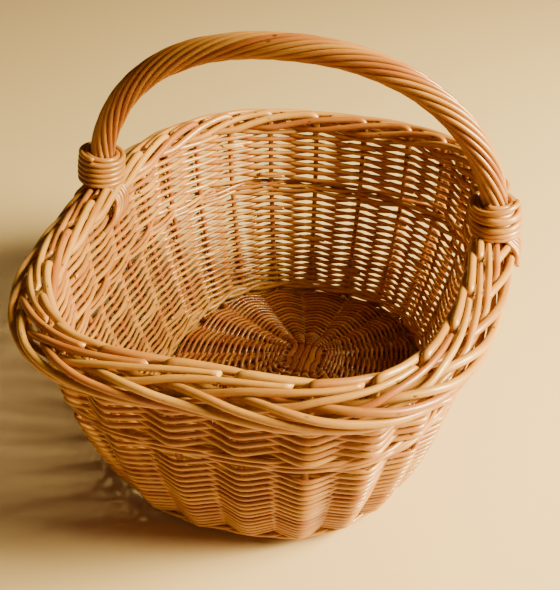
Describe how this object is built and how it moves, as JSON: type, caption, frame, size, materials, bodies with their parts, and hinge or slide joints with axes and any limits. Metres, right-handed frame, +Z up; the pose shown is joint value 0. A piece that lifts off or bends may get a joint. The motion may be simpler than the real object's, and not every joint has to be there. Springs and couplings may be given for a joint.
{
  "type": "woven basket",
  "caption": "Oval woven willow market basket with a domed base, flared sides, a thick rolled rod border and a fixed roped handle over the middle.",
  "frame": {"origin": "centre of the foot hoop's outline on the floor", "axes": "+Z up, X along the handle's span, Y along the basket's length, with the handle slightly towards +Y"},
  "size_m": [0.4296, 0.5281, 0.3895],
  "materials": {
    "hoop": "pale honey willow, clear varnish worn at the edge",
    "base_stick": "dark red-brown willow stick, clear varnish",
    "base_rod": "red-brown willow rod, clear varnish",
    "stake": "brown willow stake, clear varnish",
    "fine_rod": "thin honey-brown buff willow, clear varnish, colour varies from rod to rod",
    "coarse_rod": "honey-brown buff willow, clear varnish, colour varies from rod to rod",
    "wale_rod": "brown buff willow, clear varnish",
    "border_rod": "tan buff willow with small knots, satin varnish",
    "bow": "brown willow rod, varnished",
    "rope_strand": "orange-brown buff willow, glossy varnish",
    "wrap_rod": "orange-brown buff willow, glossy varnish"
  },
  "bodies": {
    "root": {"foot_hoop": "hoop", "base_sticks_long": "base_stick", "base_sticks_cross": "base_stick", "slath_binding": "fine_rod", "base_weave": "base_rod", "side_stakes": "stake", "upsett": "fine_rod", "lower_side_weave": "fine_rod", "middle_wale": "wale_rod", "upper_side_weave": "coarse_rod", "border_rods": "border_rod", "handle_bow": "bow", "handle_strands_left": "rope_strand", "handle_strands_right": "rope_strand", "left_wrap": "wrap_rod", "right_wrap": "wrap_rod"}
  },
  "joints": []
}
